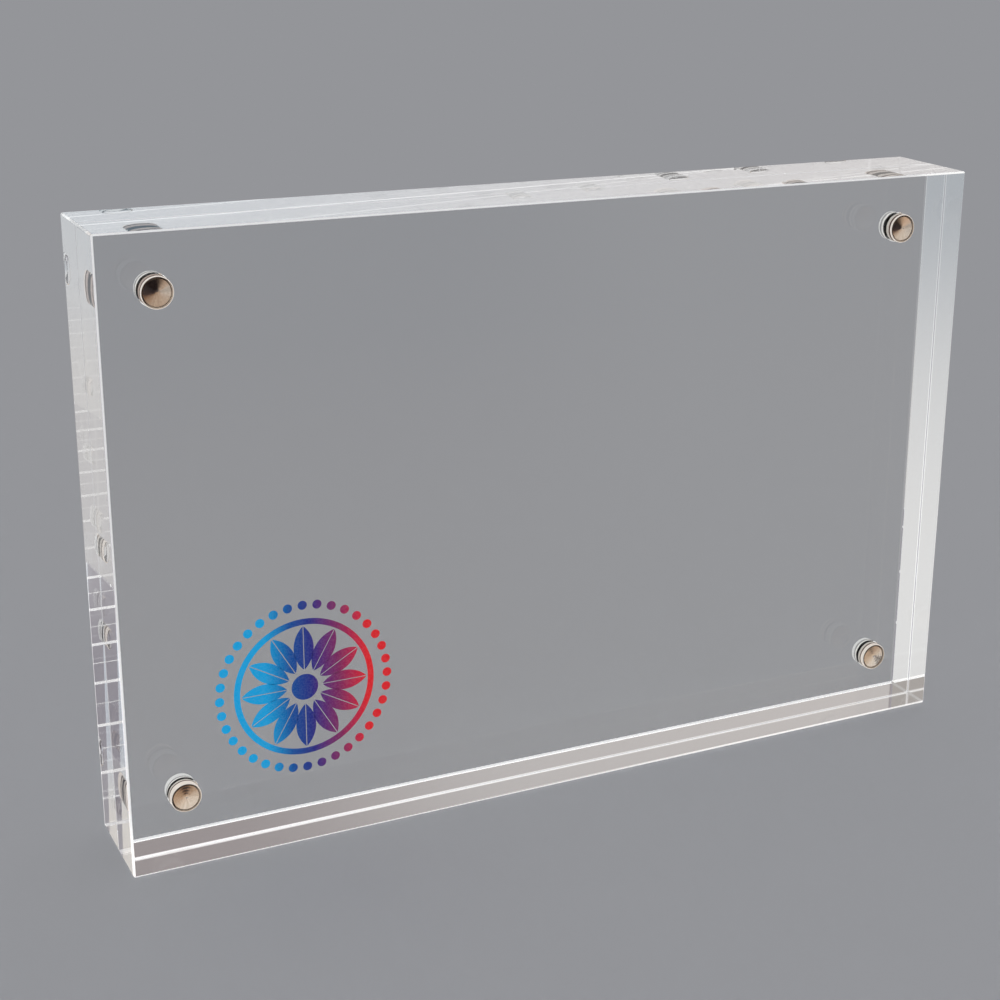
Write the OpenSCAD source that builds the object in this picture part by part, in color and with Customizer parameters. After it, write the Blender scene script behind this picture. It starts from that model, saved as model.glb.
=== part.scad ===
// Acrylic block frame: two clear blocks, held face to face by magnets, with room
// between them for a print.
// X runs along the width, Y from the front face to the back face, and Z up from
// the surface that the frame stands on. The origin is in the middle of the base.

/* [Blocks] */
// Width of both blocks, which is the long side of the print
block_w = 152.4; // [70:0.1:305]
// Height of both blocks, which is the short side of the print
block_h = 101.6; // [50:0.1:305]
// Thickness of the front block
front_t = 9.475; // [6:0.025:19]
// Thickness of the back block
back_t = 9.475; // [6:0.025:19]
// Gap that the magnets keep between the blocks, for the print
print_gap = 0.1; // [0.04:0.02:0.6]
// Width of the bevel polished along every outer edge, measured on either face
edge_bevel = 0.3; // [0.1:0.05:1.2]
// Width of the bevel along the edges where the blocks meet, measured on either face
seam_bevel = 0.08; // [0.04:0.02:0.6]

/* [Magnets] */
// Diameter of each magnet
magnet_d = 4.76; // [3:0.01:8]
// Length of each magnet
magnet_len = 3.175; // [1.5:0.025:4.8]
// Radius of the rounded rims of each magnet
magnet_rim_r = 0.35; // [0.05:0.05:0.6]
// Distance from the ends of the blocks to the axes of the magnets
magnet_inset_x = 10; // [6:0.1:25]
// Distance from the top and the base of the blocks to the axes of the magnets
magnet_inset_z = 10; // [6:0.1:20]

/* [Magnet bores] */
// Clearance round each magnet in its bore
bore_clearance = 0.1; // [0.05:0.01:0.3]
// Depth of the glue between each magnet and the floor of its bore
glue_t = 0.1; // [0.05:0.01:0.3]
// Height of the shallow cone that the cutter leaves in the floor of each bore
floor_cone_h = 0.25; // [0.05:0.05:0.6]
// Radius that the cutter's rounded corner leaves round the floor of each bore
floor_corner_r = 0.3; // [0.05:0.05:0.6]
// Width of the bevel round the mouth of each bore
mouth_bevel = 0.15; // [0.05:0.05:0.5]

/* [Hidden] */
$fn = 96;

// Where the faces lie, from the front to the back
frame_t = front_t + print_gap + back_t;
front_y = -frame_t / 2;
front_seam_y = front_y + front_t;
back_seam_y = front_seam_y + print_gap;
meeting_y = front_seam_y + print_gap / 2;

// The four corners, as steps to the left or right and to the bottom or top
LEFT = -1;
RIGHT = 1;
BOTTOM = -1;
TOP = 1;
CORNERS = [[LEFT, BOTTOM], [LEFT, TOP], [RIGHT, BOTTOM], [RIGHT, TOP]];

// Magnets and their bores
magnet_r = magnet_d / 2;
bore_r = magnet_r + bore_clearance;
bore_wall_end = magnet_len + glue_t;
bore_mouth = print_gap / 2;

// A rectangle round the origin with bevelled corners: one bevel below, one above
module bevelled_rectangle(size, low_bevel, high_bevel) {
    x = size.x / 2;
    y = size.y / 2;
    polygon([
        [-x, low_bevel - y], [low_bevel - x, -y],
        [x - low_bevel, -y], [x, low_bevel - y],
        [x, y - high_bevel], [x - high_bevel, y],
        [high_bevel - x, y], [-x, y - high_bevel]
    ]);
}

// A block round the origin with every edge bevelled: what three bevelled bars share
module bevelled_block(size, front_bevel, back_bevel) {
    intersection() {
        linear_extrude(size.z, center = true)
            bevelled_rectangle([size.x, size.y], front_bevel, back_bevel);
        rotate([0, -90, 0])
            linear_extrude(size.x, center = true)
                bevelled_rectangle([size.z, size.y], front_bevel, back_bevel);
        rotate([90, 0, 0])
            linear_extrude(size.y, center = true)
                bevelled_rectangle([size.x, size.z], edge_bevel, edge_bevel);
    }
}

// Puts a magnet or a bore in a corner, where the two magnets of a pair meet
module in_corner(side, level)
    translate([
        side * (block_w / 2 - magnet_inset_x),
        meeting_y,
        block_h / 2 + level * (block_h / 2 - magnet_inset_z)
    ])
        children();

// Turns a shape that rises from the meeting plane into the front or the back block
module into_front() rotate([90, 0, 0]) children();
module into_back() rotate([-90, 0, 0]) children();

// Half of a magnet's section: a bar with rounded corners
module magnet_section() {
    flat_r = magnet_r - magnet_rim_r;
    square([flat_r, magnet_len]);
    translate([0, magnet_rim_r])
        square([magnet_r, magnet_len - 2 * magnet_rim_r]);
    for (rim_z = [magnet_rim_r, magnet_len - magnet_rim_r])
        translate([flat_r, rim_z])
            circle(magnet_rim_r);
}

// A magnet, standing on the plane where it meets the other magnet of its pair
module magnet() rotate_extrude() magnet_section();

// Half of a bore's section, with the cutter's rounded corner and shallow cone at its floor
module bore_section() {
    mouth_r = bore_r + mouth_bevel;
    corner_x = bore_r - floor_corner_r;
    corner_y = bore_wall_end - floor_corner_r;
    polygon([
        [0, 0],
        [mouth_r + bore_mouth, 0],
        [bore_r, bore_mouth + mouth_bevel],
        [bore_r, corner_y],
        [corner_x, corner_y],
        [corner_x, bore_wall_end],
        [0, bore_wall_end + floor_cone_h]
    ]);
    translate([corner_x, corner_y])
        circle(floor_corner_r);
}

// The space that a bore takes, from the meeting plane to the tip of its floor
module bore() rotate_extrude() bore_section();

module front_block()
    color("aliceblue", 0.35)
        difference() {
            translate([0, front_y + front_t / 2, block_h / 2])
                bevelled_block([block_w, front_t, block_h], edge_bevel, seam_bevel);
            for (corner = CORNERS)
                in_corner(corner[0], corner[1]) into_front() bore();
        }

module back_block()
    color("lightcyan", 0.35)
        difference() {
            translate([0, back_seam_y + back_t / 2, block_h / 2])
                bevelled_block([block_w, back_t, block_h], seam_bevel, edge_bevel);
            for (corner = CORNERS)
                in_corner(corner[0], corner[1]) into_back() bore();
        }

module front_magnet(side, level)
    color("tan") in_corner(side, level) into_front() magnet();

module back_magnet(side, level)
    color("rosybrown") in_corner(side, level) into_back() magnet();

front_magnet(LEFT, TOP);  // front_magnet_top_left
front_magnet(RIGHT, TOP);  // front_magnet_top_right
front_magnet(LEFT, BOTTOM);  // front_magnet_bottom_left
front_magnet(RIGHT, BOTTOM);  // front_magnet_bottom_right
back_magnet(LEFT, TOP);  // back_magnet_top_left
back_magnet(RIGHT, TOP);  // back_magnet_top_right
back_magnet(LEFT, BOTTOM);  // back_magnet_bottom_left
back_magnet(RIGHT, BOTTOM);  // back_magnet_bottom_right
front_block();
back_block();
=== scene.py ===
"""The looks of the acrylic block frame: clear blocks, plated magnets, a colour print and a plain studio."""

from __future__ import annotations

import logging
import math
from dataclasses import dataclass
from enum import Enum
from typing import ClassVar

import bpy
from mathutils import Matrix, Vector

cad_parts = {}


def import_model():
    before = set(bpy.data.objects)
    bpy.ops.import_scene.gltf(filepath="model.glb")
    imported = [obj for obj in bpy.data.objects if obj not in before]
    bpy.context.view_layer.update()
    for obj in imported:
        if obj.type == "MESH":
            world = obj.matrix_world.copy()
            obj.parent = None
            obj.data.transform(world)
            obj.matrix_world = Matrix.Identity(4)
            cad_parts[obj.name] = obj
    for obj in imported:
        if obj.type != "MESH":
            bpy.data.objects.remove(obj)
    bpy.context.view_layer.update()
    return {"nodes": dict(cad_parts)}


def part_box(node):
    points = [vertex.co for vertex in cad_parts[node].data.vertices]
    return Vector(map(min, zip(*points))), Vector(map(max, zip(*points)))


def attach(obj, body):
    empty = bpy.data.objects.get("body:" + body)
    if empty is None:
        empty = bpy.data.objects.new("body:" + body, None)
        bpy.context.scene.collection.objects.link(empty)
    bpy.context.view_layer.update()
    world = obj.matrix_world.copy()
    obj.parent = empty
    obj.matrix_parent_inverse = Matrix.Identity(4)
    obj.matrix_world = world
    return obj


Socket = bpy.types.NodeSocket
Colour = tuple[float, float, float]
Place = tuple[float, float, float]
Stop = tuple[float, Colour]
Span = tuple[float, float]
Axes = tuple[Socket, Socket, Socket]

LOG = logging.getLogger("block_frame")
MM = 0.001
FULL_TURN = 2 * math.pi
QUARTER_TURN = math.pi / 2
BLACK: Colour = (0.0, 0.0, 0.0)
WHITE: Colour = (1.0, 1.0, 1.0)
# Most of a noise pattern's values lie in this range, round this middle.
NOISE_RANGE: Span = (0.3, 0.7)
NOISE_MIDDLE = 0.5
# Light Path counts whole steps, so half a step tells one count from the next.
HALF_STEP = 0.5
BOUNCES = {"max_bounces": 64, "glossy_bounces": 48, "transmission_bounces": 32}


class Half(Enum):
    """The two halves that pull apart, each a moving body."""

    FRONT = "front"
    BACK = "back"

    @property
    def body(self) -> str:
        """The name of the moving body."""
        return f"{self.value}_half"

    @property
    def block(self) -> str:
        """The name of the half's block."""
        return f"{self.value}_block"


class Corner(Enum):
    """The four corners that hold a magnet."""

    TOP_LEFT = "top_left"
    TOP_RIGHT = "top_right"
    BOTTOM_LEFT = "bottom_left"
    BOTTOM_RIGHT = "bottom_right"


def linear(red: float, green: float, blue: float) -> Colour:
    """Turns a colour as a screen shows it into the linear values that shaders use.

    Args:
        red: The red value, from 0 to 255.
        green: The green value, from 0 to 255.
        blue: The blue value, from 0 to 255.

    Returns:
        The colour in linear light, from 0 to 1.
    """

    def one(value: float) -> float:
        """Turns one value, by the screen standard's curve."""
        share = value / 255
        return share / 12.92 if share <= 0.04045 else ((share + 0.055) / 1.055) ** 2.4

    return one(red), one(green), one(blue)


class Tree:
    """A short way to write a node tree: nodes with their values, and links between them."""

    def __init__(self, nodes: bpy.types.NodeTree) -> None:
        """Keeps the tree and empties it.

        Args:
            nodes: The node tree to fill.
        """
        self.tree = nodes
        self.tree.nodes.clear()

    def add(self, kind: str, inputs: dict | None = None, **settings: object) -> bpy.types.Node:
        """Adds one node.

        Args:
            kind: The node's type, without the words ShaderNode in front.
            inputs: A value or an output socket for each input, by name or number.
            **settings: The node's own settings.

        Returns:
            The new node.
        """
        node = self.tree.nodes.new("ShaderNode" + kind)
        for name, value in settings.items():
            setattr(node, name, value)
        for name, value in (inputs or {}).items():
            self.feed(node.inputs[name], value)
        return node

    def feed(self, socket: Socket, value: object) -> None:
        """Gives an input socket a value, or links an output socket to it.

        Args:
            socket: The input socket.
            value: A number, a colour, a vector or an output socket.
        """
        if isinstance(value, Socket):
            self.tree.links.new(value, socket)
        elif isinstance(value, tuple) and socket.type == "RGBA":
            socket.default_value = (*value[:3], 1.0)
        else:
            socket.default_value = value

    def math(self, operation: str, first: object, second: object = 0.0, third: object = 0.0) -> Socket:
        """Adds a Math node and returns its output.

        Args:
            operation: The name of the operation.
            first: The first number or socket.
            second: The second number or socket.
            third: The third number or socket, where the operation has one.

        Returns:
            The node's output socket.
        """
        inputs = {0: first, 1: second, 2: third}
        return self.add("Math", inputs, operation=operation).outputs[0]

    def plus(self, first: object, second: object) -> Socket:
        """Adds two values."""
        return self.math("ADD", first, second)

    def minus(self, first: object, second: object) -> Socket:
        """Takes the second value from the first."""
        return self.math("SUBTRACT", first, second)

    def times(self, first: object, second: object) -> Socket:
        """Multiplies two values."""
        return self.math("MULTIPLY", first, second)

    def highest(self, first: object, second: object) -> Socket:
        """Keeps the higher of two values."""
        return self.math("MAXIMUM", first, second)

    def above(self, value: object, limit: float) -> Socket:
        """Marks where a value is above a limit."""
        return self.math("GREATER_THAN", value, limit)

    def below(self, value: object, limit: object) -> Socket:
        """Marks where a value is below a limit."""
        return self.math("LESS_THAN", value, limit)

    def size(self, value: object) -> Socket:
        """Drops a value's sign."""
        return self.math("ABSOLUTE", value)

    def axes(self, where: Socket) -> Axes:
        """Splits a place or a direction into its X, Y and Z."""
        parts = self.add("SeparateXYZ", {0: where}).outputs
        return parts["X"], parts["Y"], parts["Z"]

    def noise(self, where: Socket, size: float, detail: float) -> Socket:
        """Adds a noise pattern.

        Args:
            where: The point's place.
            size: The pattern's size, in metres.
            detail: How many finer layers it has.

        Returns:
            The pattern's value, about 0.5 on average.
        """
        return self.add("TexNoise", {"Vector": where, "Scale": 1 / size, "Detail": detail}).outputs[0]

    def ease(self, value: object, low: float, high: float, start: float = 0.0, end: float = 1.0) -> Socket:
        """Maps a value from one range to another, with soft ends.

        Args:
            value: The value or socket to map.
            low: The lower end of the range that comes in.
            high: The upper end of the range that comes in.
            start: What the lower end becomes.
            end: What the upper end becomes.

        Returns:
            The mapped value's socket.
        """
        inputs = {"Value": value, "From Min": low, "From Max": high, "To Min": start, "To Max": end}
        return self.add("MapRange", inputs, interpolation_type="SMOOTHSTEP").outputs[0]

    def blend(self, share: object, first: object, second: object) -> Socket:
        """Mixes two colours.

        Args:
            share: How much of the second colour there is.
            first: The first colour or socket.
            second: The second colour or socket.

        Returns:
            The mixed colour's socket.
        """
        return self.add("Mix", {0: share, 6: first, 7: second}, data_type="RGBA").outputs[2]

    def ramp(self, share: object, stops: tuple[Stop, ...]) -> Socket:
        """Runs through a row of colours.

        Args:
            share: The place in the row, from 0 to 1.
            stops: The place and the colour of each stop.

        Returns:
            The colour's socket.
        """
        node = self.add("ValToRGB", {0: share})
        scale = node.color_ramp
        while len(scale.elements) < len(stops):
            scale.elements.new(position=0.5)
        for element, (place, colour) in zip(scale.elements, stops):
            element.position = place
            element.color = (*colour, 1.0)
        return node.outputs[0]

    def end(self, shader: bpy.types.Node) -> None:
        """Shows a shader on the surface."""
        self.add("OutputMaterial", {"Surface": shader.outputs[0]})


def new_material(name: str) -> tuple[bpy.types.Material, Tree, Socket]:
    """Starts a material.

    Args:
        name: The material's name.

    Returns:
        The material, its empty tree and the socket with a point's place on the object.
    """
    made = bpy.data.materials.new(name)
    made.use_nodes = True
    tree = Tree(made.node_tree)
    return made, tree, tree.add("TexCoord").outputs["Object"]


@dataclass(frozen=True)
class Layout:
    """Where the magnets' axes and the blocks' faces lie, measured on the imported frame."""

    centre_z: float
    axis_x: float
    axis_z: float
    magnet_r: float
    half_x: float
    half_y: float
    half_z: float

    @classmethod
    def from_frame(cls) -> Layout:
        """Measures the layout on the CAD nodes.

        Returns:
            The layout, in metres.
        """
        low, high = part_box(Half.FRONT.block)
        back_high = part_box(Half.BACK.block)[1]
        seat_low, seat_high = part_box(f"front_magnet_{Corner.TOP_RIGHT.value}")
        centre_z = (low.z + high.z) / 2
        return cls(
            centre_z=centre_z,
            axis_x=(seat_low.x + seat_high.x) / 2,
            axis_z=(seat_low.z + seat_high.z) / 2 - centre_z,
            magnet_r=(seat_high.x - seat_low.x) / 2,
            half_x=(high.x - low.x) / 2,
            half_y=(back_high.y - low.y) / 2,
            half_z=(high.z - low.z) / 2,
        )


@dataclass(frozen=True)
class PlaceGroup:
    """A node group that turns a point's place into values, made once and placed in several materials."""

    layout: Layout
    name: ClassVar[str] = ""

    def values(self, tree: Tree, place: Axes) -> dict[str, Socket]:
        """Adds the group's own nodes.

        Args:
            tree: The group's tree.
            place: The point's place along the width and the depth, and its height.

        Returns:
            A socket for each of the group's outputs, by name.
        """
        raise NotImplementedError

    def make(self) -> bpy.types.NodeTree:
        """Builds the group.

        Returns:
            The node group.
        """
        made = bpy.data.node_groups.new(self.name, "ShaderNodeTree")
        made.interface.new_socket("Position", in_out="INPUT", socket_type="NodeSocketVector")
        tree = Tree(made)
        start = made.nodes.new("NodeGroupInput")
        found = self.values(tree, tree.axes(start.outputs["Position"]))
        for output in found:
            made.interface.new_socket(output, in_out="OUTPUT", socket_type="NodeSocketFloat")
        end = made.nodes.new("NodeGroupOutput")
        for output, value in found.items():
            tree.feed(end.inputs[output], value)
        return made

    def read(self, tree: Tree, where: Socket) -> bpy.types.bpy_prop_collection:
        """Places the group in a material.

        Args:
            tree: The material's tree.
            where: The point's place on the object.

        Returns:
            The group's outputs.
        """
        group = bpy.data.node_groups.get(self.name) or self.make()
        return tree.add("Group", {"Position": where}, node_tree=group).outputs


@dataclass(frozen=True)
class AxisDistance(PlaceGroup):
    """A point's distance from the nearest magnet axis, its place round it and its lean to the light."""

    light_slope: float = 0.85
    name: ClassVar[str] = "distance_from_magnet_axis"

    def values(self, tree: Tree, place: Axes) -> dict[str, Socket]:
        """Adds the nodes for Distance, Across, Up and Lean.

        Args:
            tree: The group's tree.
            place: The point's place along the width and the depth, and its height.

        Returns:
            The outputs' sockets, by name.
        """
        x, _, z = place
        across = tree.minus(x, tree.times(tree.math("SIGN", x), self.layout.axis_x))
        height = tree.minus(z, self.layout.centre_z)
        up = tree.minus(height, tree.times(tree.math("SIGN", height), self.layout.axis_z))
        squares = tree.plus(tree.times(across, across), tree.times(up, up))
        return {
            "Distance": tree.math("SQRT", squares),
            "Across": across,
            "Up": up,
            "Lean": tree.minus(tree.times(across, self.light_slope), up),
        }


@dataclass(frozen=True)
class EdgeBand(PlaceGroup):
    """Marks the bevels along the outer edges, where the blocks meet, and the side faces; the acrylic paints
    its glow on these marks.
    """

    bevel: float = 0.3 * MM
    slack: float = 0.02 * MM
    right_upright: float = 0.12
    ledge: float = 0.65 * MM
    ledge_fade: Span = (52 * MM, 36 * MM)
    sill: float = 0.20 * MM
    sill_fade: Span = (-35 * MM, 45 * MM)
    seam: float = 0.30 * MM
    # How much wider the painted strip of light under the base seam grows towards the left.
    seam_painted_widening: float = 0.70 * MM
    seam_fade: Span = (60 * MM, -76 * MM)
    seam_rise: Span = (95 * MM, 35 * MM)
    top_seam: float = 0.45
    name: ClassVar[str] = "edges_of_the_blocks"

    def values(self, tree: Tree, place: Axes) -> dict[str, Socket]:
        """Adds the nodes for the marks.

        Args:
            tree: The group's tree.
            place: The point's place along the width and the depth, and its height.

        Returns:
            The outputs' sockets, by name. Rim marks the long bevels round the front and back faces, Upright
            those that stand, Corner those that run from front to back, Ledge the strips of the sides and of
            the front and back faces beside the bevels near the base, Seam the edges where the blocks meet,
            Base Seam the one under the base, and Side the four side faces.
        """
        x, y, z = place
        box = self.layout
        height = tree.minus(z, box.centre_z)
        at_end, at_face, at_level = (
            tree.above(tree.size(value), reach - self.bevel + self.slack)
            for value, reach in ((x, box.half_x), (y, box.half_y), (height, box.half_z))
        )
        side = tree.highest(at_end, at_level)
        depth = tree.size(y)
        at_seam = tree.below(depth, self.seam)
        at_ledge = tree.above(depth, box.half_y - self.ledge)
        at_base = tree.below(height, self.bevel - box.half_z)
        at_sill = tree.below(height, self.bevel + self.sill - box.half_z)
        # Under the base, the seam's strip of painted light widens and brightens towards the left.
        to_left = tree.ease(x, *self.seam_fade)
        seam_w = tree.math("MULTIPLY_ADD", to_left, self.seam_painted_widening, self.seam)
        base_seam = tree.times(at_base, tree.below(depth, seam_w))
        # The ledge and sill strips near the base carry painted glow.
        ledge = tree.times(at_ledge, tree.times(side, tree.ease(z, *self.ledge_fade)))
        sill = tree.times(at_face, tree.times(at_sill, tree.ease(x, *self.sill_fade)))
        upright_share = tree.ease(tree.above(x, 0.0), 0.0, 1.0, 1.0, self.right_upright)
        end_seam = tree.times(at_end, tree.ease(z, *self.seam_rise, self.top_seam))
        return {
            "Rim": tree.times(at_face, at_level),
            "Upright": tree.times(tree.times(at_face, at_end), upright_share),
            "Corner": tree.times(at_end, at_level),
            "Ledge": tree.highest(ledge, sill),
            "Seam": tree.times(at_seam, tree.highest(at_level, end_seam)),
            "Base Seam": tree.times(base_seam, to_left),
            "Side": side,
        }


@dataclass(frozen=True)
class ClearAcrylic:
    """Cast acrylic: polished faces, faint polishing waves on the sides and scraped bevels, with a painted
    glow on the bevels, seams and strips near the base that stands in for their highlights.
    """

    layout: Layout
    name: str
    # Emission on the long bevels and the seams: painted glow in place of their highlights.
    rim_glow: float
    seam_glow: float
    tint: Colour = (0.991, 0.996, 0.996)
    refraction: float = 1.49
    rim_roughness: float = 0.55
    corner_roughness: float = 0.20
    scuff_roughness: float = 0.12
    # Emission on the corner bevels, the strips near the base and the strip under the base seam: painted glow
    # in place of their highlights.
    corner_glow: float = 0.40
    ledge_glow: float = 0.50
    seam_share: float = 0.6
    base_seam_glow: float = 0.28
    wave_size: float = 5.0 * MM
    wave_detail: float = 3.0
    wave_height: float = 0.0012 * MM
    speck_size: float = 1.4 * MM
    speck_detail: float = 2.0
    speck_range: Span = (0.70, 0.80)
    clear_until: float = 2.5
    faint_from: float = 2.5
    ghost_from: float = 4.5

    def material(self) -> bpy.types.Material:
        """Builds the material.

        Returns:
            The finished material.
        """
        made, tree, where = new_material(self.name)
        mark = EdgeBand(self.layout).read(tree, where)
        path = tree.add("LightPath").outputs
        through, mirrored = path["Transmission Depth"], path["Glossy Depth"]
        # Where the marks and their painted glow show: from outside, in no mirror, or not in a faint mirror
        # image.
        outside = tree.below(through, HALF_STEP)
        plain = tree.below(mirrored, HALF_STEP)
        once = tree.math("COMPARE", mirrored, 1.0, HALF_STEP)
        faint = tree.times(tree.above(through, self.faint_from), once)
        ghost = tree.times(tree.above(through, self.ghost_from), once)
        clear = tree.times(tree.minus(1.0, faint), tree.below(mirrored, self.clear_until))
        long_rim = tree.times(mark["Rim"], tree.minus(1.0, ghost))
        rim = tree.highest(long_rim, tree.times(mark["Upright"], clear))
        corner = tree.times(mark["Corner"], outside)
        waves = tree.times(tree.noise(where, self.wave_size, self.wave_detail), mark["Side"])
        swell = tree.times(waves, self.wave_height)
        bump = tree.add("Bump", {"Strength": 1.0, "Distance": 1.0, "Height": swell})
        specks = tree.noise(where, self.speck_size, self.speck_detail)
        scuffed = tree.times(tree.ease(specks, *self.speck_range), mark["Side"])
        roughness = tree.times(scuffed, self.scuff_roughness)
        for mask, most in ((corner, self.corner_roughness), (rim, self.rim_roughness)):
            roughness = tree.highest(roughness, tree.times(mask, most))
        # Painted glow: emission that stands in for the highlights of the bevels, ledges and seams.
        glow = tree.times(rim, self.rim_glow)
        for mask, shown, most in (
            (corner, outside, self.corner_glow),
            (mark["Ledge"], outside, self.ledge_glow),
            (mark["Seam"], clear, self.seam_glow * self.seam_share),
            (mark["Base Seam"], plain, self.base_seam_glow),
        ):
            glow = tree.highest(glow, tree.times(tree.times(mask, shown), most))
        inputs = {
            "Base Color": self.tint,
            "Roughness": roughness,
            "IOR": self.refraction,
            "Transmission Weight": 1.0,
            "Emission Color": tree.blend(glow, BLACK, WHITE),
            "Emission Strength": 1.0,
            "Normal": bump.outputs[0],
        }
        tree.end(tree.add("BsdfPrincipled", inputs))
        return made


@dataclass(frozen=True)
class PlatedMagnet:
    """Nickel plate over a pressed magnet: mirror-like, with turned marks on the flat ends, painted shade on
    the side that leans away from the light, and random tarnish blotches.
    """

    layout: Layout
    name: str
    colour: Colour = (0.92, 0.87, 0.82)
    # The darker colour serves both the painted shade on the side away from the light and the random tarnish
    # blotches.
    tarnish_and_shade: Colour = (0.70, 0.56, 0.44)
    painted_shade_slope: float = 0.55
    stain_blotch: float = 0.9
    shade_and_stain_range: Span = (-0.35, 0.35)
    old_glue: Colour = (0.40, 0.29, 0.20)
    streaks: float = 2.4
    streak_detail: float = 3.0
    streak_range: Span = (0.42, 0.62)
    streak_share: float = 0.20
    spot_range: Span = (0.48, 0.64)
    spot_share: float = 0.24
    roughness: float = 0.09
    dull_share: float = 1.6
    cone_slope: float = 0.17
    ring_pitch: float = 0.50 * MM
    ring_height: float = 0.0014 * MM
    grain_size: float = 0.35 * MM
    grain_detail: float = 4.0

    def material(self) -> bpy.types.Material:
        """Builds the material.

        Returns:
            The finished material.
        """
        made, tree, where = new_material(self.name)
        axis = AxisDistance(self.layout).read(tree, where)
        rings = tree.math("SINE", tree.times(axis["Distance"], FULL_TURN / self.ring_pitch))
        grain = tree.noise(where, self.grain_size, self.grain_detail)
        cone = tree.times(axis["Distance"], -self.cone_slope)
        marks = tree.times(tree.plus(rings, grain), self.ring_height)
        bump = tree.add("Bump", {"Strength": 1.0, "Distance": 1.0, "Height": tree.plus(cone, marks)})
        # Painted shade: the plate turns darker towards the side that leans away from the light, broken up by
        # random tarnish blotches.
        share = tree.times(axis["Lean"], self.painted_shade_slope / self.layout.magnet_r)
        blotch = tree.times(tree.minus(grain, NOISE_MIDDLE), self.stain_blotch)
        lit_and_clean = tree.ease(tree.plus(share, blotch), *self.shade_and_stain_range)
        plate = tree.blend(lit_and_clean, self.tarnish_and_shade, self.colour)
        turn = tree.math("ARCTAN2", axis["Up"], axis["Across"])
        along = {"W": turn, "Scale": self.streaks, "Detail": self.streak_detail}
        brushed = tree.add("TexNoise", along, noise_dimensions="1D").outputs[0]
        dull = tree.times(tree.ease(brushed, *self.streak_range), self.streak_share)
        spots = tree.times(tree.ease(grain, *self.spot_range), self.spot_share)
        inputs = {
            "Base Color": tree.blend(tree.highest(dull, spots), plate, self.old_glue),
            "Metallic": 1.0,
            "Roughness": tree.ease(grain, *NOISE_RANGE, self.roughness, self.dull_share * self.roughness),
            "Normal": bump.outputs[0],
        }
        tree.end(tree.add("BsdfPrincipled", inputs))
        return made


# The rings seen through the glue, each with its distance in millimetres from where the blocks meet: light and
# dark bands that paint the room's reflection in the magnet's side, a bright painted highlight at the far end,
# and near-black painted shade where the blocks meet.
FRONT_PAINTED_RINGS: tuple[Stop, ...] = (
    (0.78, (0.004, 0.003, 0.002)),
    (0.92, (0.46, 0.38, 0.34)),
    (1.95, (0.56, 0.47, 0.42)),
    (2.10, (0.06, 0.03, 0.02)),
    (2.55, (0.06, 0.03, 0.02)),
    (2.68, (0.95, 0.87, 0.80)),
)
BACK_PAINTED_RINGS: tuple[Stop, ...] = (
    (0.72, (0.004, 0.003, 0.002)),
    (0.86, (0.92, 0.90, 0.88)),
    (1.65, (0.88, 0.86, 0.84)),
    (1.80, (0.34, 0.34, 0.34)),
    (2.40, (0.42, 0.43, 0.44)),
    (2.60, (0.82, 0.82, 0.82)),
)


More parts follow.
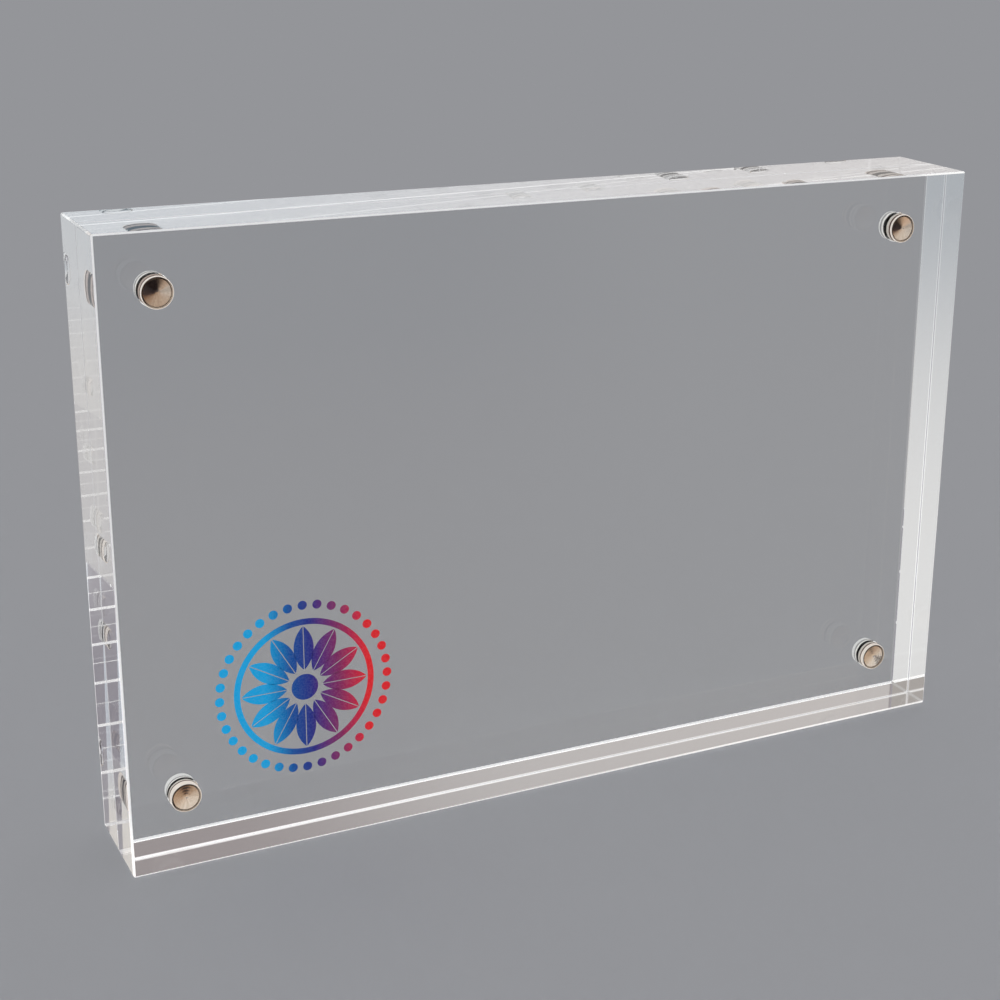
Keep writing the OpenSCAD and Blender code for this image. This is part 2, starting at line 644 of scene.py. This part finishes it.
@dataclass(frozen=True)
class PaintedRingsThroughGlue:
    """The side of a magnet as it shows through its glue, laid on as painted rings: bands of painted
    reflection, near-black painted shade where the blocks meet, a painted highlight, and painted shade on the
    end face's rounded corner away from the light.
    """

    layout: Layout
    name: str
    painted_rings: tuple[Stop, ...]
    # Strength of a painted highlight across the rings, growing towards the lower right.
    painted_highlight: float
    painted_highlight_colour: Colour = (0.66, 0.62, 0.57)
    painted_highlight_band: Span = (0.80 * MM, 1.85 * MM)
    painted_highlight_fade: Span = (-150 * MM, -60 * MM)
    face_edge: tuple[Colour, Colour] = ((0.05, 0.028, 0.016), (0.52, 0.42, 0.33))
    face_r: float = 2.36 * MM
    light_shares: Span = (-0.4, 0.8)
    squeeze: float = 1.7
    squeeze_slope: float = 0.25
    squeeze_fade: Span = (60 * MM, -8 * MM)
    deepest: float = 3.4
    soft: float = 0.08 * MM
    blotch_size: float = 1.1 * MM
    blotch_detail: float = 3.0
    sway: float = 0.5 * MM
    sway_fade: Span = (2.9 * MM, 2.4 * MM)
    relief: float = 0.02 * MM
    roughness: float = 0.35
    dull_share: float = 2.0

    def between(self, tree: Tree, depth: Socket, low: float, high: float) -> Socket:
        """Marks a ring round the magnet.

        Args:
            tree: The tree to add to.
            depth: How far a point lies from where the blocks meet.
            low: Where the ring starts.
            high: Where the ring ends.

        Returns:
            The ring's mask.
        """
        starts = tree.ease(depth, low - self.soft, low + self.soft)
        return tree.times(starts, tree.ease(depth, high + self.soft, high - self.soft))

    def material(self) -> bpy.types.Material:
        """Builds the material.

        Returns:
            The finished material.
        """
        made, tree, where = new_material(self.name)
        x, y, z = tree.axes(where)
        axis = AxisDistance(self.layout).read(tree, where)
        blotches = tree.noise(where, self.blotch_size, self.blotch_detail)
        # The rings lie closer together towards the lower left, and waver near the seam.
        depth = tree.size(y)
        to_left = tree.math("MULTIPLY_ADD", x, self.squeeze_slope, z)
        squeeze = tree.ease(to_left, *self.squeeze_fade, 1.0, self.squeeze)
        sway = tree.times(tree.minus(blotches, NOISE_MIDDLE), self.sway)
        sway = tree.times(sway, tree.ease(depth, *self.sway_fade))
        wavy = tree.plus(tree.times(depth, squeeze), sway)
        # The magnet's side as painted rings of reflection and shade, by depth from the seam.
        stops = tuple((place / self.deepest, colour) for place, colour in self.painted_rings)
        rings = tree.ramp(tree.math("DIVIDE", wavy, self.deepest * MM), stops)
        # A painted highlight across the rings, brighter towards the lower right.
        shines = tree.times(tree.ease(tree.minus(x, z), *self.painted_highlight_fade), self.painted_highlight)
        painted_highlight = tree.times(self.between(tree, wavy, *self.painted_highlight_band), shines)
        side = tree.blend(painted_highlight, rings, self.painted_highlight_colour)
        # The rounded corner round the magnet's end face is dark on the side away from the light.
        on_face = tree.below(axis["Distance"], self.face_r)
        reach = tuple(share * self.layout.magnet_r for share in self.light_shares)
        edge = tree.blend(tree.ease(axis["Lean"], *reach), *self.face_edge)
        bump = tree.add("Bump", {"Strength": 1.0, "Distance": self.relief, "Height": blotches})
        inputs = {
            "Base Color": tree.blend(on_face, side, edge),
            "Roughness": tree.ease(blotches, *NOISE_RANGE, self.roughness, self.dull_share * self.roughness),
            "Specular IOR Level": 0.0,
            "Normal": bump.outputs[0],
        }
        tree.end(tree.add("BsdfPrincipled", inputs))
        return made


@dataclass
class GlueFilm:
    """The films of clear glue that hold one half's magnets, wetting each bore's wall and rounded corner; they
    carry the painted rings of the magnets' sides.
    """

    half: Half
    layout: Layout
    clearance: float = 0.1 * MM
    bite: float = 0.015 * MM
    corner_r: float = 0.3 * MM
    rim_w: float = 0.01 * MM
    floor_gap: float = 0.1 * MM
    mouth_gap: float = 0.02 * MM
    mouth_bevel: float = 0.15 * MM
    wall: float = 0.03 * MM
    corner_steps: int = 6
    sides: int = 96

    def build(self) -> list[bpy.types.Object]:
        """Models one film and copies it to the other corners, each copy with a mesh of its own.

        Returns:
            The films, each at the origin with its place in its mesh.
        """
        first = self.model()
        shape = first.data.copy()
        films = []
        for corner in Corner:
            film = bpy.data.objects.new("glue", shape.copy()) if films else first
            if films:
                bpy.context.scene.collection.objects.link(film)
            film.name = f"{self.half.value}_glue_{corner.value}"
            low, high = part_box(f"{self.half.value}_magnet_{corner.value}")
            film.data.transform(Matrix.Translation(((low.x + high.x) / 2, 0, (low.z + high.z) / 2)))
            films.append(film)
        bpy.data.meshes.remove(shape)
        return films

    def model(self) -> bpy.types.Object:
        """Models the film round the depth axis, as a thin tube with a flared mouth and a rounded rim.

        Returns:
            The film's object, selected and active.
        """
        low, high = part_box(f"{self.half.value}_magnet_{Corner.TOP_LEFT.value}")
        outward = -1 if self.half is Half.FRONT else 1
        far = max(abs(low.y), abs(high.y)) + self.floor_gap + self.bite
        mouth = min(abs(low.y), abs(high.y)) + self.mouth_gap
        outer = self.layout.magnet_r + self.clearance + self.bite
        wide = outer + self.mouth_bevel
        bpy.ops.object.select_all(action="DESELECT")
        bpy.ops.mesh.primitive_circle_add(vertices=self.sides, radius=wide, fill_type="NOTHING")
        film = bpy.context.object
        bpy.ops.object.mode_set(mode="EDIT")
        bpy.ops.mesh.select_all(action="SELECT")
        self.rise(self.mouth_bevel)
        self.narrow(outer / wide)
        self.rise(far - self.corner_r - mouth - self.mouth_bevel)
        shrink = 1.0
        for step in range(1, self.corner_steps + 1):
            turn = QUARTER_TURN * step / self.corner_steps
            before = QUARTER_TURN * (step - 1) / self.corner_steps
            self.rise(self.corner_r * (math.sin(turn) - math.sin(before)))
            radius = outer - self.corner_r * (1 - math.cos(turn))
            self.narrow(radius / outer / shrink)
            shrink = radius / outer
        # A loop of no height starts the flat rim.
        self.rise(0.0)
        self.narrow((outer - self.corner_r - self.rim_w) / outer / shrink)
        bpy.ops.mesh.select_all(action="SELECT")
        bpy.ops.mesh.normals_make_consistent(inside=False)
        bpy.ops.object.mode_set(mode="OBJECT")
        self.thicken(film)
        turn = Matrix.Rotation(-QUARTER_TURN * outward, 4, "X")
        film.matrix_world = Matrix.Translation((0, outward * mouth, 0)) @ turn
        bpy.ops.object.transform_apply(location=True, rotation=True, scale=True)
        bpy.ops.object.shade_smooth()
        return film

    def rise(self, height: float) -> None:
        """Extrudes the selected loop along the film's axis."""
        bpy.ops.mesh.extrude_region_move(TRANSFORM_OT_translate={"value": (0, 0, height)})

    def narrow(self, share: float) -> None:
        """Scales the selected loop round the film's axis."""
        bpy.ops.transform.resize(value=(share, share, 1.0))

    def thicken(self, film: bpy.types.Object) -> None:
        """Gives the film its wall, towards the magnet.

        Args:
            film: The film's object.
        """
        shell = film.modifiers.new("wall", "SOLIDIFY")
        shell.thickness = self.wall
        shell.offset = -1.0
        bpy.ops.object.modifier_apply(modifier=shell.name)


@dataclass(frozen=True)
class HalfLooks:
    """What sets one half's finishes apart from the other's: its painted rings, painted highlight and painted
    glows.
    """

    painted_rings: tuple[Stop, ...]
    painted_highlight: float
    rim_glow: float
    seam_glow: float


LOOKS: dict[Half, HalfLooks] = {
    Half.FRONT: HalfLooks(FRONT_PAINTED_RINGS, painted_highlight=1.0, rim_glow=0.42, seam_glow=0.16),
    Half.BACK: HalfLooks(BACK_PAINTED_RINGS, painted_highlight=0.0, rim_glow=0.45, seam_glow=0.30),
}


@dataclass
class FrameHalf:
    """One half of the frame: its block and the four magnets glued into it."""

    half: Half
    layout: Layout
    nodes: dict[str, bpy.types.Object]

    def dress(self) -> None:
        """Gives the block and its magnets their finishes, and adds the glue."""
        side, looks = self.half.value, LOOKS[self.half]
        clear = ClearAcrylic(self.layout, f"clear_acrylic_{side}", looks.rim_glow, looks.seam_glow)
        plated = PlatedMagnet(self.layout, f"nickel_plate_{side}")
        painted_rings_look = PaintedRingsThroughGlue(self.layout, f"plate_with_painted_rings_{side}", looks.painted_rings, looks.painted_highlight)
        acrylic, plate, painted_rings_material = (look.material() for look in (clear, plated, painted_rings_look))
        self.finish(self.half.block, acrylic)
        for corner in Corner:
            self.finish(f"{side}_magnet_{corner.value}", plate)
        # Each glue film carries its magnet's side as painted rings of reflection and shade.
        for film in GlueFilm(self.half, self.layout).build():
            film.data.materials.append(painted_rings_material)
            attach(film, self.half.body)
            LOG.info("%s rides on %s", film.name, self.half.body)

    def finish(self, node: str, material: bpy.types.Material) -> None:
        """Puts a material on one node.

        Args:
            node: The node's name.
            material: The material to use.
        """
        for slot in self.nodes[node].material_slots:
            slot.material = material
        LOG.info("%s has the finish %s", node, material.name)


INK: tuple[Stop, ...] = (
    (0.00, linear(0, 176, 243)),
    (0.28, linear(0, 170, 236)),
    (0.42, linear(0, 84, 166)),
    (0.54, linear(40, 44, 140)),
    (0.70, linear(140, 40, 100)),
    (0.86, linear(237, 28, 40)),
)


@dataclass(frozen=True)
class PrintInk:
    """Printed ink that runs from light blue through indigo to red across the ornament."""

    name: str
    start_x: float
    end_x: float
    gloss: float = 0.2
    roughness: float = 0.38
    dull_share: float = 1.3
    dot_size: float = 0.25 * MM
    dot_detail: float = 2.0
    worn_range: Span = (0.35, 0.7)
    worn_share: float = 0.04
    worn_colour: Colour = (0.9, 0.9, 0.9)
    relief: float = 0.004 * MM
    relief_share: float = 0.4

    def material(self) -> bpy.types.Material:
        """Builds the material, which mirrors don't show.

        Returns:
            The finished material.
        """
        made, tree, where = new_material(self.name)
        span = {"Value": tree.axes(where)[0], "From Min": self.start_x, "From Max": self.end_x}
        shade = tree.ramp(tree.add("MapRange", span).outputs[0], INK)
        dots = tree.noise(where, self.dot_size, self.dot_detail)
        worn = tree.ease(dots, *self.worn_range, 0.0, self.worn_share)
        bump = tree.add("Bump", {"Strength": self.relief_share, "Distance": self.relief, "Height": dots})
        inputs = {
            "Base Color": tree.blend(worn, shade, self.worn_colour),
            "Roughness": tree.ease(dots, *NOISE_RANGE, self.roughness, self.dull_share * self.roughness),
            "Specular IOR Level": self.gloss,
            "Alpha": tree.below(tree.add("LightPath").outputs["Glossy Depth"], HALF_STEP),
            "Normal": bump.outputs[0],
        }
        tree.end(tree.add("BsdfPrincipled", inputs))
        return made


@dataclass
class PrintedRosette:
    """A plain rosette printed on the lower left of the front face: petals, a ring and a border of dots."""

    front_y: float
    centre_x: float = -47.3 * MM
    centre_z: float = 27.2 * MM
    petals: int = 12
    petal_reach: Span = (2.9 * MM, 10.4 * MM)
    petal_w: float = 3.3 * MM
    petal_sides: int = 192
    vein_w: float = 0.14 * MM
    cut_reach: float = 0.0001 * MM
    hub_r: float = 2.2 * MM
    hub_sides: int = 48
    ring_r: float = 11.6 * MM
    ring_w: float = 1.0 * MM
    ring_sides: int = 128
    dots: int = 36
    dot_row_r: float = 13.9 * MM
    dot_r: float = 0.75 * MM
    dot_sides: int = 24
    ink_t: float = 0.03 * MM
    ink_lift: float = 0.01 * MM

    def build(self) -> list[bpy.types.Object]:
        """Makes every motif of the rosette.

        Returns:
            The pieces, each at the origin with its place in its mesh.
        """
        reach = self.dot_row_r + self.dot_r
        ink = PrintInk("print_ink", self.centre_x - reach, self.centre_x + reach).material()
        pieces = [self.hub(), self.ring(), self.petal_wreath(), self.dot_border()]
        for piece in pieces:
            self.lay(piece, ink)
            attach(piece, Half.FRONT.body)
            LOG.info("%s rides on %s", piece.name, Half.FRONT.body)
        return pieces

    def disc(self, name: str, radius: float, sides: int) -> bpy.types.Object:
        """Adds a flat disc round the origin.

        Args:
            name: The piece's name.
            radius: The disc's radius.
            sides: How many sides its outline has.

        Returns:
            The disc's object, selected and active.
        """
        bpy.ops.object.select_all(action="DESELECT")
        bpy.ops.mesh.primitive_circle_add(vertices=sides, radius=radius, fill_type="NGON")
        made = bpy.context.object
        made.name = name
        return made

    def hub(self) -> bpy.types.Object:
        """Makes the disc in the middle."""
        return self.disc("print_hub", self.hub_r, self.hub_sides)

    def ring(self) -> bpy.types.Object:
        """Makes the ring round the petals.

        Returns:
            The ring's object.
        """
        made = self.disc("print_ring", self.ring_r, self.ring_sides)
        bpy.ops.object.mode_set(mode="EDIT")
        bpy.ops.mesh.select_all(action="SELECT")
        bpy.ops.mesh.inset(thickness=self.ring_w)
        bpy.ops.mesh.delete(type="FACE")
        bpy.ops.object.mode_set(mode="OBJECT")
        return made

    def petal_wreath(self) -> bpy.types.Object:
        """Makes the wreath of petals, each a lens where two circles cross, with a bare vein along its middle.

        Returns:
            The wreath's object.
        """
        inner, outer = self.petal_reach
        half_length = (outer - inner) / 2
        half_w = self.petal_w / 2
        arc_r = (half_length**2 + half_w**2) / (2 * half_w)
        petal = self.disc("print_petals", arc_r, self.petal_sides)
        petal.data.transform(Matrix.Translation((half_w - arc_r, 0, 0)))
        bpy.ops.object.mode_set(mode="EDIT")
        bpy.ops.mesh.select_all(action="SELECT")
        vein = (self.vein_w / 2, 0, 0)
        bpy.ops.mesh.bisect(plane_co=vein, plane_no=(1, 0, 0), clear_inner=True, threshold=self.cut_reach)
        bpy.ops.object.mode_set(mode="OBJECT")
        mirror = petal.modifiers.new("other_side", "MIRROR")
        mirror.use_mirror_merge = False
        bpy.ops.object.modifier_apply(modifier=mirror.name)
        petal.data.transform(Matrix.Translation((0, inner + half_length, 0)))
        return self.round_copies(petal, self.petals)

    def dot_border(self) -> bpy.types.Object:
        """Makes the border of dots.

        Returns:
            The border's object.
        """
        dot = self.disc("print_dots", self.dot_r, self.dot_sides)
        dot.data.transform(Matrix.Translation((0, self.dot_row_r, 0)))
        return self.round_copies(dot, self.dots)

    def round_copies(self, first: bpy.types.Object, count: int) -> bpy.types.Object:
        """Repeats a motif round the centre and joins the copies.

        Args:
            first: The motif to repeat.
            count: How many there are in all.

        Returns:
            The joined object.
        """
        copies = []
        for step in range(1, count):
            mesh = first.data.copy()
            mesh.transform(Matrix.Rotation(FULL_TURN * step / count, 4, "Z"))
            copy = bpy.data.objects.new(first.name, mesh)
            bpy.context.scene.collection.objects.link(copy)
            copies.append(copy)
        for copy in copies:
            copy.select_set(True)
        first.select_set(True)
        bpy.context.view_layer.objects.active = first
        bpy.ops.object.join()
        return first

    def lay(self, piece: bpy.types.Object, ink: bpy.types.Material) -> None:
        """Gives a motif the ink's thickness and lays it on the front face.

        Args:
            piece: The flat motif, drawn round the origin in the XY plane.
            ink: The ink's material.
        """
        bpy.ops.object.select_all(action="DESELECT")
        piece.select_set(True)
        bpy.context.view_layer.objects.active = piece
        layer = piece.modifiers.new("ink", "SOLIDIFY")
        layer.thickness = self.ink_t
        layer.offset = 1.0
        bpy.ops.object.modifier_apply(modifier=layer.name)
        place = Matrix.Translation((self.centre_x, self.front_y - self.ink_lift, self.centre_z))
        piece.matrix_world = place @ Matrix.Rotation(QUARTER_TURN, 4, "X")
        bpy.ops.object.transform_apply(location=True, rotation=True, scale=True)
        piece.data.materials.clear()
        piece.data.materials.append(ink)


@dataclass(frozen=True)
class LightPaths:
    """Masks that tell where light comes from, by how often it was mirrored or let through on its way.

    Falls marks light on its way to a matt surface, and mirrored what a polished one shows. Of that, deep
    marks what was mirrored many times inside the blocks, outside what never went through them, and on
    metal what a magnet shows through its block.
    """

    falls: Socket
    mirrored: Socket
    deep: Socket
    outside: Socket
    on_metal: Socket
    deep_from: ClassVar[float] = 5.5
    metal_entries: ClassVar[float] = 4.0

    @classmethod
    def read(cls, tree: Tree) -> LightPaths:
        """Adds the nodes that make the masks.

        Args:
            tree: The tree that needs them.

        Returns:
            The masks.
        """
        path = tree.add("LightPath").outputs
        glossy, through = path["Glossy Depth"], path["Transmission Depth"]
        falls = tree.above(path["Diffuse Depth"], HALF_STEP)
        seen = tree.minus(1.0, falls)
        mirrored = tree.times(seen, tree.above(glossy, HALF_STEP))
        to_metal = tree.math("COMPARE", through, cls.metal_entries, HALF_STEP)
        return cls(
            falls=falls,
            mirrored=mirrored,
            deep=tree.times(seen, tree.above(glossy, cls.deep_from)),
            outside=tree.times(mirrored, tree.below(through, HALF_STEP)),
            on_metal=tree.times(mirrored, to_metal),
        )


# The table in front of the frame, from the frame outwards, as shares of the table's reach.
TABLE: tuple[Stop, ...] = (
    (0.02, (0.82, 0.72, 0.62)),
    (0.09, (0.58, 0.45, 0.34)),
    (0.31, (0.46, 0.34, 0.25)),
    (0.49, (0.32, 0.21, 0.14)),
    (0.71, (0.06, 0.022, 0.010)),
    (1.00, (0.02, 0.006, 0.003)),
)


@dataclass(frozen=True)
class Studio:
    """The backdrop's grey, the light that falls on things, and what the acrylic and the magnets mirror."""

    layout: Layout
    backdrop: Colour = linear(148, 149, 153)
    light: float = 0.92
    lamp: float = 0.08
    lamp_spread: float = 60.0
    lamp_turn: Span = (-14.0, 16.0)
    room_left: Colour = (0.375, 0.335, 0.335)
    room_right: Colour = (0.56, 0.53, 0.52)
    right_turn: Span = (0.22, 0.40)
    room_behind: Colour = (0.44, 0.41, 0.39)
    left_turn: Span = (0.05, -0.05)
    room_outside: tuple[Colour, Colour] = ((0.31, 0.39, 0.46), (0.50, 0.47, 0.46))
    outside_turn: Span = (0.2, 0.6)
    room_deep: Colour = (0.31, 0.29, 0.33)
    window_deep: Colour = (0.74, 0.80, 0.87)
    window_high: Colour = (1.05, 0.99, 0.90)
    window_corner: Place = (0.0, 0.0, 0.33)
    window_rise: Span = (0.43, 0.47)
    overhead: Colour = (0.85, 0.85, 0.85)
    overhead_rise: Span = (0.5, 0.7)
    ahead: Colour = (0.006, 0.002, 0.001)
    ahead_side: Colour = (0.74, 0.61, 0.51)
    side_turns: tuple[Span, Span] = ((0.25, 0.70), (-0.42, -0.85))
    ahead_turn: Span = (0.05, -0.05)
    table_reach: float = 450.0 * MM
    table_lit: Colour = (0.85, 0.78, 0.70)
    lit_share: float = 0.62
    lit_slope: float = 0.5
    lit_fade: Span = (-60 * MM, 60 * MM)
    front_glare: Colour = (0.11, 0.11, 0.12)
    sweep_near: Colour = (0.87, 0.86, 0.85)
    sweep_far: Colour = (0.46, 0.485, 0.515)
    sweep_fade: Span = (-0.1, 0.6)
    back_near: Colour = (0.22, 0.21, 0.23)
    back_mid: Colour = (0.60, 0.59, 0.585)
    back_far: Colour = (0.53, 0.555, 0.59)
    back_fades: tuple[Span, Span] = ((0.11, 0.18), (0.30, 0.50))
    side_near: Colour = (0.63, 0.615, 0.605)
    side_far: Colour = (0.57, 0.585, 0.60)
    side_fade: Span = (0.15, 0.45)
    under: Colour = (1.0, 0.99, 0.98)
    floor_drop: float = 0.05 * MM
    floor_size: float = 60.0
    edge: float = 0.15 * MM

    def build(self) -> None:
        """Makes the world, the lamp and the floor."""
        self.world()
        self.add_lamp()
        self.floor()

    @property
    def daylight(self) -> Colour:
        """The even light that falls on matt surfaces."""
        return self.light, self.light, self.light

    def world(self) -> None:
        """Makes a plain grey world that lights matt surfaces and shows polished ones a room."""
        made = bpy.data.worlds.new("studio")
        bpy.context.scene.world = made
        made.use_nodes = True
        made.cycles.sampling_method = "NONE"
        tree = Tree(made.node_tree)
        x, y, z = tree.axes(tree.add("TexCoord").outputs["Generated"])
        paths = LightPaths.read(tree)
        # Beyond the frame, as the blocks' inner faces show it, and then as the outer ones do.
        behind = tree.blend(tree.ease(x, *self.right_turn), self.room_left, self.room_right)
        behind = tree.blend(tree.ease(x, *self.left_turn), behind, self.room_behind)
        outside = tree.blend(tree.ease(x, *self.outside_turn), *self.room_outside)
        behind = tree.blend(paths.outside, behind, outside)
        # In front of the frame: dark ahead, and light to both sides.
        to_side = tree.highest(*(tree.ease(x, *turn) for turn in self.side_turns))
        front = tree.blend(to_side, self.ahead, self.ahead_side)
        around = tree.blend(tree.ease(y, *self.ahead_turn), behind, front)
        # Deep in the blocks: a dim room, with a window high up on the right.
        window = tree.blend(tree.ease(z, *self.window_rise), self.window_deep, self.window_high)
        right, rear, high = (tree.above(*pair) for pair in zip((x, y, z), self.window_corner))
        to_window = tree.times(tree.times(right, rear), high)
        around = tree.blend(paths.deep, around, tree.blend(to_window, self.room_deep, window))
        room = tree.blend(tree.ease(z, *self.overhead_rise), around, self.overhead)
        colour = tree.blend(paths.falls, tree.blend(paths.mirrored, self.backdrop, room), self.daylight)
        shader = tree.add("Background", {"Color": colour})
        tree.add("OutputWorld", {"Surface": shader.outputs[0]})

    def add_lamp(self) -> None:
        """Hangs one wide lamp above and behind the right end; its soft shadow falls to the lower left."""
        lamp = bpy.data.lights.new("overhead_lamp", "SUN")
        lamp.energy = self.lamp * math.pi
        lamp.angle = math.radians(self.lamp_spread)
        holder = bpy.data.objects.new("overhead_lamp", lamp)
        holder.rotation_euler = (*(math.radians(turn) for turn in self.lamp_turn), 0)
        bpy.context.scene.collection.objects.link(holder)

    def floor(self) -> None:
        """Lays a pale floor, a hair below the blocks."""
        bpy.ops.object.select_all(action="DESELECT")
        bpy.ops.mesh.primitive_plane_add(size=self.floor_size, location=(0, 0, -self.floor_drop))
        floor = bpy.context.object
        floor.name = "floor"
        made, tree, where = new_material("floor_sweep")
        paths = LightPaths.read(tree)
        falling = math.prod(math.cos(math.radians(turn)) for turn in self.lamp_turn)
        share = 1 / (self.light + self.lamp * falling)
        matt = tree.add("BsdfDiffuse", {"Color": tuple(value * share for value in self.backdrop)})
        sweep = tree.add("Emission", {"Color": self.sweep(tree, where, paths)})
        shines = tree.highest(paths.mirrored, paths.falls)
        tree.end(tree.add("MixShader", {0: shines, 1: matt.outputs[0], 2: sweep.outputs[0]}))
        floor.data.materials.append(made)

    def sweep(self, tree: Tree, where: Socket, paths: LightPaths) -> Socket:
        """Adds the floor as polished surfaces and the light that it sends up show it.

        Args:
            tree: The floor's tree.
            where: The point's place on the floor.
            paths: The masks of the light's way.

        Returns:
            The colour's socket.
        """
        x, y, _ = tree.axes(where)
        reach = tree.add("VectorMath", {0: where}, operation="LENGTH").outputs["Value"]
        # Beyond the frame, as the blocks' inner faces show it, and then as the outer ones do.
        behind = tree.blend(tree.ease(reach, *self.sweep_fade), self.sweep_near, self.sweep_far)
        back = self.back_near
        for fade, colour in zip(self.back_fades, (self.back_mid, self.back_far)):
            back = tree.blend(tree.ease(reach, *fade), back, colour)
        behind = tree.blend(paths.outside, behind, back)
        # In front of the frame: the table, lit on the right.
        table = tree.ramp(tree.math("DIVIDE", y, -self.table_reach), TABLE)
        aside = tree.plus(x, tree.times(y, self.lit_slope))
        table = tree.blend(tree.ease(aside, *self.lit_fade, 0.0, self.lit_share), table, self.table_lit)
        front = tree.blend(paths.on_metal, self.backdrop, table)
        front = tree.blend(paths.outside, front, self.front_glare)
        shown = tree.blend(tree.below(y, -self.layout.half_y), behind, front)
        # Deep in the blocks: a plain floor, bright under the blocks.
        under_x, under_y = (
            tree.below(tree.size(value), half + self.edge)
            for value, half in ((x, self.layout.half_x), (y, self.layout.half_y))
        )
        side = tree.blend(tree.ease(reach, *self.side_fade), self.side_near, self.side_far)
        deep = tree.blend(tree.times(under_x, under_y), side, self.under)
        return tree.blend(paths.falls, tree.blend(paths.deep, shown, deep), self.daylight)


@dataclass(frozen=True)
class ViewPoint:
    """The place and the lens of the camera that took the photograph."""

    place: Place = (-134.70 * MM, -271.86 * MM, 151.73 * MM)
    azimuth: float = 27.396
    tilt: float = -18.418
    roll: float = 0.89
    lens: float = 67.79
    sensor_w: float = 36.0
    shift: Span = (-0.080, -0.010)
    nearest: float = 10 * MM

    def camera(self) -> bpy.types.Object:
        """Makes the camera and hands it to the scene.

        Returns:
            The camera object.
        """
        data = bpy.data.cameras.new("camera")
        data.lens = self.lens
        data.sensor_width = self.sensor_w
        data.shift_x, data.shift_y = self.shift
        data.clip_start = self.nearest
        camera = bpy.data.objects.new("camera", data)
        turn = Matrix.Rotation(-math.radians(self.azimuth), 4, "Z")
        lean = Matrix.Rotation(math.radians(90 + self.tilt), 4, "X")
        roll = Matrix.Rotation(math.radians(self.roll), 4, "Z")
        camera.matrix_world = Matrix.Translation(self.place) @ turn @ lean @ roll
        bpy.context.scene.collection.objects.link(camera)
        bpy.context.scene.camera = camera
        return camera


def set_light_paths() -> None:
    """Lets light bounce often enough to cross the blocks from end to end."""
    scene = bpy.context.scene
    for name, count in BOUNCES.items():
        setattr(scene.cycles, name, count)
    scene.cycles.blur_glossy = 0.0
    scene.view_settings.view_transform = "Standard"


def main() -> None:
    logging.basicConfig(level=logging.INFO, format="%(name)s: %(message)s")
    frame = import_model()
    ViewPoint().camera()
    set_light_paths()
    layout = Layout.from_frame()
    for half in Half:
        FrameHalf(half, layout, frame["nodes"]).dress()
    PrintedRosette(-layout.half_y).build()
    Studio(layout).build()


if __name__ == "__main__":
    main()
